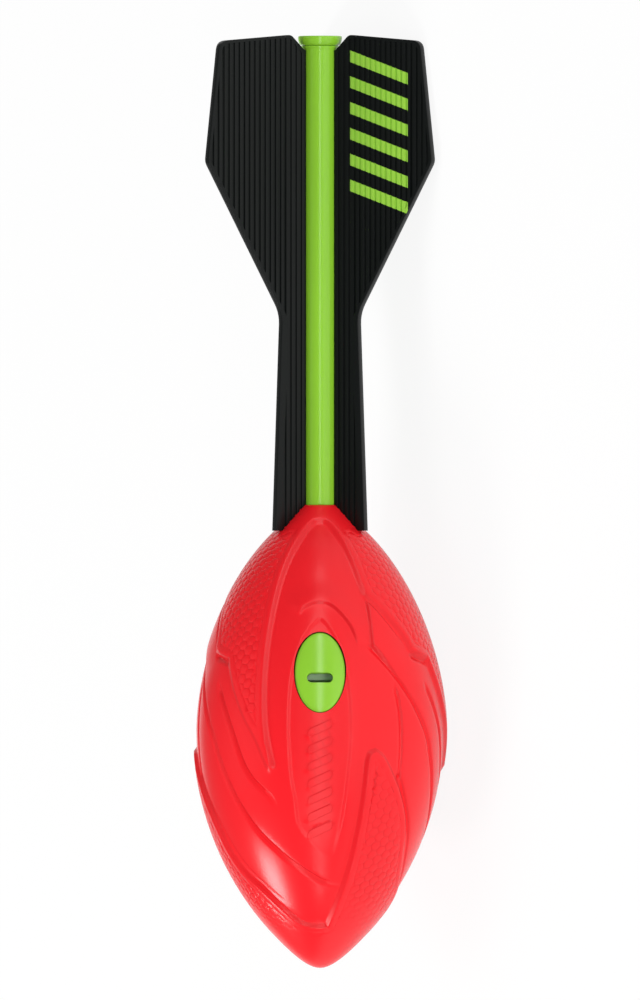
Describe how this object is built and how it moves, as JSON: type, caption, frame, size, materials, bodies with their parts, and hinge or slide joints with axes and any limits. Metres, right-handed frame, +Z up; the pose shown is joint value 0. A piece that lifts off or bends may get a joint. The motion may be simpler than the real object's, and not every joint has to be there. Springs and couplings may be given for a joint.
{
  "type": "vortex throwing toy",
  "caption": "Throwing toy with an egg-shaped foam head, oval whistles in its sides, and a slim tail tube with ribbed fins.",
  "frame": {"origin": "middle of the bounding box at the table, with the toy lying on its foam belly and the outer corners of two fins", "axes": "+X leads along the toy to its tail and a few degrees down, +Z is up, and one whistle looks towards -Y and 30 degrees up"},
  "size_m": [0.3252, 0.0872, 0.0857],
  "materials": {
    "foam": "satin",
    "green_plastic": "gloss",
    "black_plastic": "satin",
    "hidden_plastic": "matte"
  },
  "bodies": {
    "root": {"foam_head": "foam", "core_tube": "green_plastic", "tail_cap": "green_plastic", "nose_anchor": "hidden_plastic", "fin_1": "black_plastic", "fin_2": "black_plastic", "fin_3": "black_plastic", "whistle_face_1": "green_plastic", "whistle_face_2": "green_plastic", "whistle_face_3": "green_plastic", "whistle_cup_1": "green_plastic", "whistle_cup_2": "green_plastic", "whistle_cup_3": "green_plastic"}
  },
  "joints": []
}
